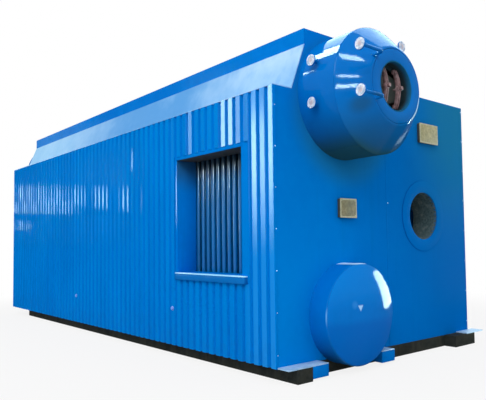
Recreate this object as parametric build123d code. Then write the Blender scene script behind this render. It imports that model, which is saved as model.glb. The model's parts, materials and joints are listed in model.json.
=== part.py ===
from build123d import *
import os
from math import cos, radians, sin, tan

# A packaged water-tube boiler on its skid. X runs across the front wall, with the ribbed side and its flue
# window at low X. Y runs from the front wall to the rear, and Z is up from the ground. The origin is on
# the ground, half way along and across the casing.

# Casing
casing_width = 3500
casing_length = 8100
left_wall_height = 2800
right_wall_rise = 260
end_plate = 8
roof_sheet = 8
ledge_width = 255
hood_side_inset = 3
hood_drum_clearance = 126
hood_band = 168

# Ribbed side cladding
rib_pitch = 132
rib_crest = 72
rib_slope = 14
rib_depth = 28
panel_thickness = 80

# Skid
skid_height = 140
skid_front_reach = 165
skid_rear_inset = 590
left_beam_inset = 130
left_beam_width = 205
right_beam_inset = 115
right_beam_width = 459
cross_beam_width = 150
cross_beam_count = 5
floor_thickness = 8
jacking_plate = 12
jacking_plate_reach = 160
left_plate_inset = 18
left_plate_width = 318
right_plate_overhang = 110
right_plate_width = 400
foot_reach = 165
foot_width = 225
foot_offset = 430
foot_ground_clearance = 20

# Upper drum, with its jacket, cone and face ring
upper_axis_from_left = 1005
upper_axis_drop = 22
steam_drum_radius = 560
steam_drum_wall = 40
steam_drum_reach = 430
steam_head_thickness = 40
upper_lagging = 98
upper_jacket_reach = 493
cone_front_radius = 400
cone_depth = 252
cone_rim = 20
ring_thickness = 20
upper_end_lagging = 90

# Manhole in the upper drum
manhole_radius = 246
manhole_neck_wall = 12
manhole_depth = 115
seat_thickness = 25
manhole_width = 400
manhole_height = 300
cover_thickness = 30
cover_lap = 15
yoke_spacing = 200
yoke_length = 410
yoke_width = 46
yoke_foot = 44
yoke_rise = 82
yoke_depth = 38
stud_radius = 12
nut_radius = 24
nut_thickness = 28

# Lower drum, with its jacket and cap
lower_axis_from_left = 992
lower_axis_height = 460
mud_drum_radius = 450
mud_drum_wall = 32
mud_drum_reach = 30
mud_head_thickness = 32
lower_lagging = 87
lower_jacket_reach = 243
cap_depth = 60
lower_end_lagging = 70

# Boiler tubes behind the flue window
tube_radius = 25.5
tube_pitch = 106.7
tube_sides = 10
tube_count = 14
tube_rows = 2
tube_row_from_left = 325
first_tube_from_front = 515
row_slope = 15
row_slope_step = 10

# Flue window in the left wall
window_from_front = 530
window_length = 1270
window_bottom = 882
window_height = 1363
window_strip_pitches = 3
window_pitches = 11
frame_inset = 12
frame_head = 40
collar_wall = 10
collar_depth = 290
sill_height = 82
sill_reach = 30
sill_near_lap = 90
sill_far_lap = 10

# Burner opening
burner_from_right = 980
burner_height = 1540
burner_radius = 297
burner_ring_radius = 445
burner_ring_thickness = 12
throat_wall = 100
throat_length = 350

# Cover plates on the front wall
plate_thickness = 8
plate_lap = 6
peep_box_depth = 38
upper_plate_width = 400
upper_plate_height = 252
upper_plate_from_right = 869
upper_plate_centre_height = 2592
lower_plate_width = 272
lower_plate_height = 213
lower_plate_from_left = 1048
lower_plate_centre_height = 1591

# Gauge and vent nozzles on the upper drum
nozzle_pipe_radius = 17
nozzle_bend = 50
flange_radius = 58
flange_thickness = 18
gauge_upper_rise = 258
gauge_lower_drop = 171
gauge_front_inset = 327
gauge_front_reach = 103
gauge_front_flange_clearance = 26
gauge_side_from_front = 232
gauge_side_flange_clearance = 42
vent_from_side = 383
vent_from_top = 160
vent_from_shoulder = 137

# Running values
fit_gap = 0.3
cut_overrun = 10

left = -casing_width / 2
right = casing_width / 2
front = -casing_length / 2
rear = casing_length / 2
base = skid_height
left_eave = base + left_wall_height
right_eave = left_eave + right_wall_rise
upper_axis = (left + upper_axis_from_left, left_eave - upper_axis_drop)
lower_axis = (left + lower_axis_from_left, base + lower_axis_height)
burner_axis = (right - burner_from_right, base + burner_height)
hood_top = upper_axis[1] + steam_drum_radius + hood_drum_clearance
upper_jacket_radius = steam_drum_radius + upper_lagging
lower_jacket_radius = mud_drum_radius + lower_lagging
ring_front = front - upper_jacket_reach - cone_depth


def save(name, *solids):
    """Write one piece, of one or more solids, to its file."""
    shape = solids[0] if len(solids) == 1 else Compound(children=list(solids))
    export_step(shape, f"parts/{name}.step")


def slab(x, y, z):
    """A rectangular block between pairs of limits."""
    corner = (Align.MIN, Align.MIN, Align.MIN)
    return Pos(x[0], y[0], z[0]) * Box(x[1] - x[0], y[1] - y[0], z[1] - z[0], align=corner)


def along(sketch, y):
    """A cross section, drawn as seen from the front, run from y[0] to y[1]."""
    return extrude(Plane.XZ.offset(-y[0]) * sketch, amount=y[1] - y[0], dir=(0, 1, 0))


def rod(axis, radius, y):
    """A round bar parallel to the drums."""
    return along(Pos(*axis) * Circle(radius), y)


def turned(axis, points):
    """A profile of (radius, y) points turned about a drum's axis."""
    profile = make_face(Polyline(*points, close=True))
    return Pos(axis[0], 0, axis[1]) * revolve(profile, axis=Axis.Y)


def inner_outline(points, depth):
    """The same outline one thickness further in, mitred at its corners."""
    sides = [(Vector(*q) - Vector(*p)).normalized() for p, q in zip(points, points[1:])]
    normals = [Vector(side.Y, -side.X) for side in sides]
    befores = [normals[0]] + normals
    afters = normals + [normals[-1]]
    inner = []
    for point, a, b in zip(points, befores, afters):
        inner.append(Vector(*point) + (a + b) * (depth / (1 + a.dot(b))))
    return inner


def roof_outline():
    """The roof's outer line, from the left eave to the right one."""
    hood_reach = steam_drum_radius - hood_side_inset
    hood_left = upper_axis[0] - hood_reach
    hood_right = upper_axis[0] + hood_reach
    return [
        (left, left_eave),
        (left + ledge_width, left_eave),
        (hood_left, hood_top - hood_band),
        (hood_left, hood_top),
        (hood_right, hood_top),
        (hood_right, right_eave),
        (right, right_eave),
    ]


def make_roof():
    """Six sheets with mitred edges: the ledge, the sloping flashing, the hood and the flat roof."""
    names = ["roof_ledge", "eave_flashing", "hood_side_left", "hood_top", "hood_side_right", "roof_right"]
    outer = roof_outline()
    inner = inner_outline(outer, roof_sheet)
    for i, name in enumerate(names):
        strip = make_face(Polyline(outer[i], outer[i + 1], inner[i + 1], inner[i], close=True))
        save(name, along(strip, (front, rear)))


def make_end_walls():
    """The front and rear plates, which fill the gable, with holes for the drums and the burner throat."""
    gable = [(left, base), *inner_outline(roof_outline(), roof_sheet), (right, base)]
    plate = make_face(Polyline(*gable, close=True))
    drum_holes = [(upper_axis, steam_drum_radius), (lower_axis, mud_drum_radius)]
    throat_hole = (burner_axis, burner_radius + throat_wall)
    walls = [("front_wall", front, drum_holes + [throat_hole]), ("rear_wall", rear - end_plate, drum_holes)]
    for name, y, holes in walls:
        wall = along(plate, (y, y + end_plate))
        for axis, radius in holes:
            wall -= rod(axis, radius + fit_gap, (y - cut_overrun, y + end_plate + cut_overrun))
        save(name, wall)


def rib_profile():
    """The side cladding seen from above: trapezoidal ribs outside and a flat back."""
    back = left + panel_thickness
    valley = left + rib_depth
    points = [(back, front)]
    y = front
    while y < rear:
        points += [(left, y), (left, y + rib_crest)]
        points += [(valley, y + rib_crest + rib_slope), (valley, y + rib_pitch - rib_slope)]
        y += rib_pitch
    points += [(left, y), (back, y)]
    return make_face(Polyline(*points, close=True))


def panel(profile, y, z):
    """The stretch of cladding between two places along the wall and two heights."""
    window = Pos(left, y[0]) * Rectangle(
        panel_thickness, y[1] - y[0], align=(Align.MIN, Align.MIN))
    return extrude(Pos(0, 0, z[0]) * (profile & window), amount=z[1] - z[0])


def make_cladding():
    """The side cladding, split round the flue window on the left."""
    profile = rib_profile()
    y_start = front + end_plate
    y_end = rear - end_plate
    y_near = front + window_strip_pitches * rib_pitch
    y_far = y_near + window_pitches * rib_pitch
    top = left_eave - roof_sheet
    z_sill = base + window_bottom - sill_height
    z_head = base + window_bottom + window_height + frame_head
    save("left_cladding_front", panel(profile, (y_start, y_near), (base, top)))
    save("left_cladding_rear", panel(profile, (y_far, y_end), (base, top)))
    save("left_cladding_under_window", panel(profile, (y_near, y_far), (base, z_sill)))
    save("left_cladding_over_window", panel(profile, (y_near, y_far), (z_head, top)))
    right_side = mirror(panel(profile, (y_start, y_end), (base, right_eave - roof_sheet)), about=Plane.YZ)
    save("right_cladding", right_side)


def make_window():
    """The frame of the flue window, its collar into the casing, and the sill on its face."""
    y_near = front + window_strip_pitches * rib_pitch
    y_far = y_near + window_pitches * rib_pitch
    y_open = (front + window_from_front, front + window_from_front + window_length)
    z_open = (base + window_bottom, base + window_bottom + window_height)
    z_frame = (z_open[0] - sill_height, z_open[1] + frame_head)
    face = left + frame_inset
    frame = slab((face, left + panel_thickness), (y_near, y_far), z_frame)
    frame += slab(
        (face, left + collar_depth),
        (y_open[0] - collar_wall, y_open[1] + collar_wall),
        (z_open[0] - collar_wall, z_open[1] + collar_wall),
    )
    frame -= slab((face - cut_overrun, left + collar_depth + cut_overrun), y_open, z_open)
    y_sill = (y_open[0] - sill_near_lap, y_open[1] - sill_far_lap)
    sill = slab((left - sill_reach, left + panel_thickness), y_sill, (z_frame[0], z_open[0]))
    save("window_frame", frame - sill)
    save("window_sill", sill)


def make_skid():
    """Two long beams, the cross beams between them, the jacking plates, the floor and the drum feet."""
    y_beam = (front - skid_front_reach, rear - skid_rear_inset)
    x_left = (left + left_beam_inset, left + left_beam_inset + left_beam_width)
    x_right = (right - right_beam_inset - right_beam_width, right - right_beam_inset)
    save("skid_beam_left", slab(x_left, y_beam, (0, base)))
    save("skid_beam_right", slab(x_right, y_beam, (0, base)))
    outermost = rear - skid_rear_inset - cross_beam_width
    spacing = (2 * outermost + cross_beam_width) / (cross_beam_count - 1)
    beam = slab((x_left[1], x_right[0]), (0, cross_beam_width), (0, base))
    places = [front] + [outermost - i * spacing for i in range(cross_beam_count)]
    save("skid_cross_beams", *[Pos(0, y, 0) * beam for y in places])
    z_plate = (base, base + jacking_plate)
    y_plate = (front - jacking_plate_reach, front)
    plate_left = left + left_plate_inset
    plate_right = right + right_plate_overhang
    save("jacking_plate_left", slab((plate_left, plate_left + left_plate_width), y_plate, z_plate))
    save("jacking_plate_right", slab((plate_right - right_plate_width, plate_right), y_plate, z_plate))
    inside = (left + panel_thickness, right - panel_thickness)
    save("floor_plate", slab(inside, (front + end_plate, rear - end_plate), (base, base + floor_thickness)))
    for side, name in ((-1, "drum_foot_left"), (1, "drum_foot_right")):
        near = lower_axis[0] + side * foot_offset
        far = near + side * foot_width
        z_foot = (foot_ground_clearance, base + jacking_plate)
        save(name, slab(sorted((near, far)), (front - foot_reach, front), z_foot))


def make_upper_drum():
    """The steam drum through the casing with its end plates, and the lagged jacket, cone and face ring."""
    y_drum = (front - steam_drum_reach, rear + steam_drum_reach)
    bore = steam_drum_radius - steam_drum_wall
    drum = turned(upper_axis, [
        (bore, y_drum[0]), (steam_drum_radius, y_drum[0]),
        (steam_drum_radius, y_drum[1]), (bore, y_drum[1])])
    save("steam_drum", drum)
    front_head = turned(upper_axis, [
        (manhole_radius, y_drum[0]), (steam_drum_radius, y_drum[0]),
        (steam_drum_radius, y_drum[0] - steam_head_thickness),
        (manhole_radius, y_drum[0] - steam_head_thickness)])
    rear_head = rod(upper_axis, steam_drum_radius, (y_drum[1], y_drum[1] + steam_head_thickness))
    save("steam_drum_heads", front_head, rear_head)
    inner = steam_drum_radius + fit_gap
    shoulder = front - upper_jacket_reach
    save("upper_jacket_front", turned(upper_axis, [
        (inner, front), (upper_jacket_radius, front), (upper_jacket_radius, shoulder), (inner, shoulder)]))
    neck_radius = manhole_radius + manhole_neck_wall
    ring_radius = cone_front_radius - cone_rim
    ring_back = ring_front + ring_thickness
    save("upper_cone_front", turned(upper_axis, [
        (neck_radius + fit_gap, shoulder), (upper_jacket_radius, shoulder), (cone_front_radius, ring_front),
        (ring_radius, ring_front), (ring_radius, ring_back), (neck_radius + fit_gap, ring_back)]))
    save("upper_ring_front", turned(upper_axis, [
        (neck_radius, ring_front), (ring_radius, ring_front), (ring_radius, ring_back),
        (neck_radius, ring_back)]))
    rear_shoulder = rear + upper_jacket_reach
    rear_face = rear_shoulder + upper_end_lagging
    save("upper_end_rear", turned(upper_axis, [
        (inner, rear), (upper_jacket_radius, rear), (upper_jacket_radius, rear_face),
        (0, rear_face), (0, rear_shoulder), (inner, rear_shoulder)]))


def make_manhole():
    """The neck with its seat, the oval cover behind it, and two yokes that hold the cover by their studs."""
    seat_face = ring_front + manhole_depth
    seat_back = seat_face + seat_thickness
    head_face = front - steam_drum_reach - steam_head_thickness
    neck_radius = manhole_radius + manhole_neck_wall
    neck = turned(upper_axis, [
        (0, seat_face), (manhole_radius, seat_face), (manhole_radius, ring_front),
        (neck_radius, ring_front), (neck_radius, head_face), (manhole_radius, head_face),
        (manhole_radius, seat_back), (0, seat_back)])
    oval = Pos(*upper_axis) * Ellipse(manhole_width / 2, manhole_height / 2)
    neck -= along(oval, (seat_face - cut_overrun, seat_back + cut_overrun))
    save("manhole_neck", neck)
    cover_oval = Pos(*upper_axis) * Ellipse(manhole_width / 2 + cover_lap, manhole_height / 2 + cover_lap)
    save("manhole_cover", along(cover_oval, (seat_back, seat_back + cover_thickness)))
    half = yoke_length / 2
    crown = seat_face - yoke_rise
    outer = ThreePointArc((-half, seat_face - yoke_depth), (0, crown), (half, seat_face - yoke_depth))
    under = ThreePointArc(
        (half - yoke_foot, seat_face), (0, crown + yoke_depth), (yoke_foot - half, seat_face))
    sides = [
        Line((half, seat_face - yoke_depth), (half, seat_face)),
        Line((half, seat_face), (half - yoke_foot, seat_face)),
        Line((yoke_foot - half, seat_face), (-half, seat_face)),
        Line((-half, seat_face), (-half, seat_face - yoke_depth)),
    ]
    outline = make_face(Curve() + [outer, *sides, under])
    yokes = []
    studs = []
    for side in (-1, 1):
        x = upper_axis[0] + side * yoke_spacing / 2
        stud_axis = (x, upper_axis[1])
        drawn = Plane(origin=(x - yoke_width / 2, 0, upper_axis[1]), x_dir=(0, 0, 1), z_dir=(-1, 0, 0))
        yoke = extrude(drawn * outline, amount=-yoke_width)
        yoke -= rod(stud_axis, stud_radius + fit_gap, (crown - cut_overrun, seat_face))
        yokes.append(yoke)
        nut = along(Pos(*stud_axis) * RegularPolygon(nut_radius, 6), (crown - nut_thickness, crown))
        studs.append(rod(stud_axis, stud_radius, (ring_front, seat_back)) + nut)
    save("manhole_yokes", *yokes)
    save("manhole_studs", *studs)


def make_lower_drum():
    """The mud drum through the casing with its end plates, the lagged jacket and its shallow conical cap."""
    y_drum = (front - mud_drum_reach, rear + mud_drum_reach)
    bore = mud_drum_radius - mud_drum_wall
    save("mud_drum", turned(lower_axis, [
        (bore, y_drum[0]), (mud_drum_radius, y_drum[0]), (mud_drum_radius, y_drum[1]), (bore, y_drum[1])]))
    front_head = rod(lower_axis, mud_drum_radius, (y_drum[0] - mud_head_thickness, y_drum[0]))
    rear_head = rod(lower_axis, mud_drum_radius, (y_drum[1], y_drum[1] + mud_head_thickness))
    save("mud_drum_heads", front_head, rear_head)
    inner = mud_drum_radius + fit_gap
    rim = front - lower_jacket_reach
    save("lower_jacket_front", turned(lower_axis, [
        (inner, front), (lower_jacket_radius, front), (lower_jacket_radius, rim), (inner, rim)]))
    save("lower_cap_front", turned(lower_axis, [(0, rim - cap_depth), (lower_jacket_radius, rim), (0, rim)]))
    rear_rim = rear + lower_jacket_reach
    rear_face = rear_rim + lower_end_lagging
    save("lower_end_rear", turned(lower_axis, [
        (inner, rear), (lower_jacket_radius, rear), (lower_jacket_radius, rear_face),
        (0, rear_face), (0, rear_rim), (inner, rear_rim)]))


def bent_tube(x, slope):
    """One boiler tube: square out of the mud drum, straight up behind the window, and back to the steam drum."""
    run = Vector(-cos(radians(slope)), 0, sin(radians(slope)))
    low = lower_axis[1] + (lower_axis[0] - x) * tan(radians(slope))
    high = upper_axis[1] - (upper_axis[0] - x) * tan(radians(slope))
    start = Vector(lower_axis[0], 0, lower_axis[1]) + run * mud_drum_radius
    end = Vector(upper_axis[0], 0, upper_axis[1]) + Vector(run.X, 0, -run.Z) * steam_drum_radius
    path = Polyline(start, (x, 0, low), (x, 0, high), end)
    section = Plane(origin=start, z_dir=run) * RegularPolygon(tube_radius, tube_sides)
    return sweep(section, path=path, transition=Transition.RIGHT)


def make_tubes():
    """The outer rows of the boiler bank, which show through the flue window."""
    tubes = []
    for row in range(tube_rows):
        x = left + tube_row_from_left + row * tube_pitch
        tube = bent_tube(x, row_slope + row * row_slope_step)
        for i in range(tube_count):
            tubes.append(Pos(0, front + first_tube_from_front + i * tube_pitch, 0) * tube)
    save("tube_bank", *tubes)


def make_burner():
    """The raised ring on the front wall and the refractory throat behind it."""
    save("burner_ring", turned(burner_axis, [
        (burner_radius, front), (burner_ring_radius, front),
        (burner_ring_radius, front - burner_ring_thickness), (burner_radius, front - burner_ring_thickness)]))
    save("burner_throat", turned(burner_axis, [
        (burner_radius, front), (burner_radius + throat_wall, front),
        (burner_radius + throat_wall, front + throat_length), (burner_radius, front + throat_length)]))


def make_peep_plates():
    """Two flat cover plates, each on a shallow box on the front wall."""
    places = [
        (right - upper_plate_from_right, upper_plate_centre_height, upper_plate_width, upper_plate_height),
        (left + lower_plate_from_left, lower_plate_centre_height, lower_plate_width, lower_plate_height),
    ]
    boxes = []
    plates = []
    face = front - peep_box_depth
    for x, height, width, tall in places:
        z = base + height
        box_width = width / 2 - plate_lap
        box_height = tall / 2 - plate_lap
        boxes.append(slab((x - box_width, x + box_width), (face, front), (z - box_height, z + box_height)))
        plates.append(slab(
            (x - width / 2, x + width / 2), (face - plate_thickness, face), (z - tall / 2, z + tall / 2)))
    save("peep_boxes", *boxes)
    save("peep_plates", *plates)


def pipe_with_flange(path):
    """A small pipe along a path, with a round flange on its far end."""
    start = Plane(origin=path @ 0, z_dir=path % 0)
    end = Plane(origin=path @ 1, z_dir=path % 1)
    pipe = sweep(start * Circle(nozzle_pipe_radius), path=path, transition=Transition.RIGHT)
    return pipe + extrude(end * Circle(flange_radius), amount=-flange_thickness)


def make_nozzles():
    """Four gauge nozzles whose flanges face left, and a vent nozzle that faces forward."""
    x, z = upper_axis
    shoulder = front - upper_jacket_reach
    covered = turned(upper_axis, [
        (0, front), (upper_jacket_radius, front), (upper_jacket_radius, shoulder),
        (cone_front_radius, ring_front), (0, ring_front)])
    jacket_side = x - upper_jacket_radius
    pipe_x = jacket_side + gauge_front_inset
    turn = ring_front - gauge_front_reach
    side_y = front - gauge_side_from_front
    gauges = []
    for rise in (gauge_upper_rise, -gauge_lower_drop):
        bent = Polyline(
            (pipe_x, shoulder, z + rise),
            (pipe_x, turn + nozzle_bend, z + rise),
            (pipe_x - nozzle_bend, turn, z + rise),
            (jacket_side - gauge_front_flange_clearance, turn, z + rise))
        straight = Line((pipe_x, side_y, z + rise),
                        (jacket_side - gauge_side_flange_clearance, side_y, z + rise))
        gauges += [pipe_with_flange(bent) - covered, pipe_with_flange(straight) - covered]
    save("gauge_nozzles", *gauges)
    vent_x = x + upper_jacket_radius - vent_from_side
    vent_z = z + upper_jacket_radius - vent_from_top
    vent = Line((vent_x, shoulder, vent_z), (vent_x, shoulder - vent_from_shoulder, vent_z))
    save("vent_nozzle", pipe_with_flange(vent) - covered)


os.makedirs("parts", exist_ok=True)
make_skid()
make_end_walls()
make_cladding()
make_window()
make_roof()
make_upper_drum()
make_manhole()
make_lower_drum()
make_tubes()
make_burner()
make_peep_plates()
make_nozzles()
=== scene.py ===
import json
from math import atan2, cos, pi, radians, sin, sqrt, tan

import bmesh
import bpy
from mathutils import Matrix, Vector


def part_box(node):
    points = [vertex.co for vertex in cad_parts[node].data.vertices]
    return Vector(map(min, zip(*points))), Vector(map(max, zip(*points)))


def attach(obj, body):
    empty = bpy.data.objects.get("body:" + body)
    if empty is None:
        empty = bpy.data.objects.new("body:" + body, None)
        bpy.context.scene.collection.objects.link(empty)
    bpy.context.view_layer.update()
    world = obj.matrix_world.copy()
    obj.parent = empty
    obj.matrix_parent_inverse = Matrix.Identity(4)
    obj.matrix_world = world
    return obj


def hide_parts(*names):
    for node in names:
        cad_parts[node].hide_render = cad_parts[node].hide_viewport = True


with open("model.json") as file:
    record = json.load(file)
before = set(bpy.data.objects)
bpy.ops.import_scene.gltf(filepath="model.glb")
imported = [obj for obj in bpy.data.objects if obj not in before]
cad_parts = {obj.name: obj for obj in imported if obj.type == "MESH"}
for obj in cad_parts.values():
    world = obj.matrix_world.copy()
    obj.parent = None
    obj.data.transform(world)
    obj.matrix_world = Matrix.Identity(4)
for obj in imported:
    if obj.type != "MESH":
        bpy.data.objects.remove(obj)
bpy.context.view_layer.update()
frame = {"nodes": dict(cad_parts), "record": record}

# Lengths are in metres. X runs across the front wall, Y from the front wall to the rear, and Z up.
cad = frame["nodes"]


def round_part(low, high):
    """The middle and the radius of a part that is round about a line along Y."""
    return Vector(((low.x + high.x) / 2, 0, (low.z + high.z) / 2)), (high.x - low.x) / 2


# Casing, read from the CAD nodes
wall_low, wall_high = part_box("front_wall")
left, right, front, base = wall_low.x, wall_high.x, wall_low.y, wall_low.z
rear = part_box("rear_wall")[1].y
ledge_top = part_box("roof_ledge")[1].z
ledge_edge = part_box("eave_flashing")[0].x
flashing_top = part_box("eave_flashing")[1]
hood_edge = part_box("hood_top")[1].x
right_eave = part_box("roof_right")[1].z

# Upper drum
jacket_low, jacket_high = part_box("upper_jacket_front")
upper, jacket_radius = round_part(jacket_low, jacket_high)
shoulder = jacket_low.y
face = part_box("upper_ring_front")[0].y
cone_tip_radius = 0.4
ring_radius = 0.38
manhole_radius = 0.246
neck_radius = 0.258
seat_depth = 0.115
drum_end_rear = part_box("upper_end_rear")[1].y

# Lower drum
lower_low, lower_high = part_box("lower_jacket_front")
lower, lower_radius = round_part(lower_low, lower_high)
cap_rim = lower_low.y
cap_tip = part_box("lower_cap_front")[0].y
lower_end_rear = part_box("lower_end_rear")[1].y

# Nozzles
pipe_radius = 0.017
pipe_bend = 0.05
gauge_rises = (0.258, -0.171)

# Burner
ring_low, ring_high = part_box("burner_ring")
burner, burner_ring_radius = round_part(ring_low, ring_high)
burner_radius = 0.297
throat_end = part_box("burner_throat")[1].y

# Ribs and window
rib_pitch = 0.132
window_low = Vector((left + 0.012, front + 0.53, base + 0.882))
window_high = Vector((left + 0.29, front + 1.8, base + 2.245))

# Tubes
tube_radius = 0.0255
tube_pitch = 0.1067
tube_count = 14
first_tube = front + 0.515
tube_row = left + 0.325
tube_rows = 2
tube_bend = 0.06

# Sheet and fasteners
sheet = 0.0015
screw_radius = 0.006
weld_distance = 0.00005
facing_turn = {"X": (0, 0, -pi / 2), "Y": (0, 0, 0)}  # for what was made to face low Y


# Surface finishes

class Number:
    """A value in a finish, so that its patterns are written as sums."""

    def __init__(self, finish, socket):
        self.finish = finish
        self.socket = socket

    def worked(self, operation, other=0.0):
        return self.finish.add("Math", {"operation": operation}, {0: self, 1: other})

    def __add__(self, other):
        return self.worked("ADD", other)

    def __sub__(self, other):
        return self.worked("SUBTRACT", other)

    def __rsub__(self, other):
        return self.finish.add("Math", {"operation": "SUBTRACT"}, {0: other, 1: self})

    def __mul__(self, other):
        return self.worked("MULTIPLY", other)

    def __truediv__(self, other):
        return self.worked("DIVIDE", other)

    __radd__ = __add__
    __rmul__ = __mul__

    def between(self, none, full, still=None, gone=None):
        """Goes smoothly from 0 at one value to 1 at the next, and with two more values back to 0."""
        if gone is not None:
            return self.between(none, full) * self.between(gone, still)
        if none > full:
            return 1 - self.between(full, none)
        return self.finish.add("MapRange", {"interpolation_type": "SMOOTHSTEP"}, {0: self, 1: none, 2: full})


class Finish:
    """One surface finish, whose patterns read the object's own coordinates."""

    def __init__(self, name, **constants):
        self.material = bpy.data.materials.new(name)
        self.material.use_nodes = True
        self.tree = self.material.node_tree
        self.surface = self.tree.nodes["Principled BSDF"]
        for socket, value in constants.items():
            self.surface.inputs[socket.replace("_", " ")].default_value = value
        self.place = self.add("TexCoord", output="Object")
        self.x, self.y, self.z = (
            self.add("SeparateXYZ", {}, {0: self.place}, axis) for axis in range(3))

    def add(self, kind, settings=None, inputs=None, output=0):
        """Add a node with its settings and its input values or links, and give back one output."""
        node = self.tree.nodes.new("ShaderNode" + kind)
        for name, value in (settings or {}).items():
            setattr(node, name, value)
        for name, value in (inputs or {}).items():
            if isinstance(value, Number):
                self.tree.links.new(value.socket, node.inputs[name])
            else:
                node.inputs[name].default_value = value
        return Number(self, node.outputs[output])

    def around(self, axis):
        """The distance from a drum's axis."""
        x, z = self.x - axis.x, self.z - axis.z
        return (x * x + z * z).worked("SQRT")

    def noise(self, scale, detail=3, rough=0.5, stretch=(1, 1, 1), shift=(0, 0, 0)):
        """Cloudy noise from 0 to 1, drawn out or pressed together along each axis."""
        moved = self.add("VectorMath", {"operation": "MULTIPLY_ADD"}, {0: self.place, 1: stretch, 2: shift})
        return self.add("TexNoise", {}, {"Vector": moved, "Scale": scale, "Detail": detail, "Roughness": rough})

    def mix(self, share, first, second):
        """A colour between two, by share."""
        first, second = (one if isinstance(one, Number) else (*one, 1) for one in (first, second))
        return self.add("Mix", {"data_type": "RGBA"}, {0: share, 6: first, 7: second}, 2)

    def listed(self, index, shares):
        """The share that a whole number picks: the first below the list, and the last beyond it."""
        step = 1 / 20
        picked = self.add("ValToRGB", {}, {0: index * step + 0.01})
        ramp = picked.socket.node.color_ramp
        ramp.interpolation = "CONSTANT"
        while len(ramp.elements) < len(shares):
            ramp.elements.new(1)
        for i, (element, share) in enumerate(zip(ramp.elements, shares)):
            element.position = i * step
            element.color = (share, share, share, 1)
        return picked

    def bump(self, height, depth, below=None):
        """Relief over a depth in metres, laid over another relief."""
        inputs = {"Height": height, "Distance": depth, "Strength": 1.0}
        if below:
            inputs["Normal"] = below
        return self.add("Bump", {}, inputs)

    def show(self, **links):
        """Link patterns to the surface's sockets."""
        for socket, value in links.items():
            self.tree.links.new(value.socket, self.surface.inputs[socket.replace("_", " ")])
        return self.material


# Each of these says how much of a colour or of the gloss covers a place, from 0 to 1; many are painted light or
# shade

def zone(share, **bands):
    """A share within smooth bands along x, y and z."""
    def inside(finish):
        total = share
        for axis, band in bands.items():
            total = getattr(finish, axis).between(*band) * total
        return total
    return inside


def painted_underside_shade(axis, radius):
    """Painted shade that deepens towards the bottom of a drum, in clouds."""
    return lambda finish: finish.z.between(axis.z - radius * 0.2, axis.z - radius * 1.05) * (
        finish.noise(2.2, 3, 0.5) * 0.35 + 0.62)


def painted_reflection_spot(x, z, radius, share):
    """A soft round painted reflection on a drum's front, dark or pale as its colour is."""
    return lambda finish: finish.around(Vector((x, 0, z))).between(radius, radius * 0.2) * share


def painted_highlight_notch(x, low, high, share):
    """A small painted highlight on a drum's front, wide at its top and pointed at its foot."""
    return lambda finish: (finish.z - low - (finish.x - x).worked("ABSOLUTE") * 1.6).between(
        0.0, 0.02) * finish.z.between(high, high - 0.02) * share


def painted_tip_glint(finish):
    """A pale painted glint along the rounded tip of the upper drum's cone, low on its right."""
    tip = cone_tip_radius
    line = finish.around(upper).between(tip - 0.02, tip - 0.014, tip + 0.003, tip + 0.008)
    return line * zone(0.9, x=(upper.x + 0.19, upper.x + 0.27), z=(upper.z, upper.z - 0.12))(finish)


def cone_sheen(finish):
    """The upper drum's gloss, dulled right of its middle."""
    return 1 - zone(1, x=(upper.x - 0.02, upper.x + 0.02, upper.x + 0.17, upper.x + 0.21),
                      z=(upper.z - 0.32, upper.z - 0.36))(finish)


def wall_shadow_and_corner_tint(finish):
    """On the front wall: a greenish painted shadow around and below the upper drum, and a greenish tint towards the
    far top corner.
    """
    below = finish.around(upper + Vector((0.08, 0, -0.1))).between(0.95, 0.62)
    corner = zone(0.85, x=(0.1, 1.5), z=(base + 0.9, base + 2.6))(finish)
    return (below * 0.6).worked("MAXIMUM", corner) * (finish.noise(3, 4, 0.6) * 0.5 + 0.7)


def flashing_weaker_sheen(finish):
    """Uneven deeper blue along the flashing's middle, where its painted sky reflection is weaker."""
    patches = finish.noise(1.2, 4, 0.6).between(0.3, 0.6) * 0.6 + 0.3
    return zone(1, y=(front + 0.7, front + 2.3, rear - 4.6, rear - 1.6))(finish) * patches


def flashing_near_end_sheen(finish):
    """Painted sky reflection in pale patches on the top of the flashing's near end."""
    patches = finish.noise(1.6, 4, 0.6, shift=(5, 0, 2)).between(0.4, 0.62)
    return zone(0.5, y=(front + 2.2, front + 0.5), z=(ledge_top + 0.12, flashing_top.z))(finish) * patches


def paint(name, clean, faded, dusty, gloss=0.1, sheen=0.12, dents=0.0012, dent_scale=1.6, streak=0.35,
          dust=0.25, stains_and_painted_light=(), polish=None):
    """Sprayed paint: cloudy, with run marks, dust near the ground and orange peel.

    Each overlay is a colour and how much of it covers each place, some of them painted light or shade; polish is
    how much of the gloss is left.
    """
    finish = Finish(name, Specular_IOR_Level=0.0, Coat_Roughness=sheen)
    clouds = finish.noise(1.3, 5, 0.55)
    fine = finish.noise(9, 4, 0.6, shift=(4, 1, 7))
    colour = finish.mix((clouds * 0.7 + fine * 0.3).between(0.36, 0.66), clean, faded)
    runs = finish.noise(7, 3, 0.6, stretch=(1, 1, 0.06), shift=(9, 3, 2)).between(0.52, 0.75) * streak
    colour = finish.mix(runs, colour, dusty)
    ground = finish.z.between(base + 0.7, base) * finish.noise(5, 4, 0.65).between(0.3, 0.7)
    colour = finish.mix(ground * dust, colour, dusty)
    specks = finish.noise(70, 2, 0.5, shift=(2, 8, 5)).between(0.72, 0.78)
    colour = finish.mix(specks * 0.35, colour, dusty)
    # Real marks, and painted light and shade, laid over the paint
    for tint, spread in stains_and_painted_light:
        colour = finish.mix(spread(finish), colour, tint)
    dull = runs * 0.4 + ground * 0.5 + specks * 0.5
    relief = finish.bump(finish.noise(dent_scale, 2, 0.4, shift=(1, 5, 3)), dents)
    relief = finish.bump(finish.noise(160, 2, 0.5), 0.00012, relief)
    shine = (fine * 0.6 + 0.7) * gloss * (1 - dull)
    return finish.show(Base_Color=colour, Roughness=fine * 0.2 + 0.4, Normal=relief,
                       Coat_Weight=shine * polish(finish) if polish else shine)


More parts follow.
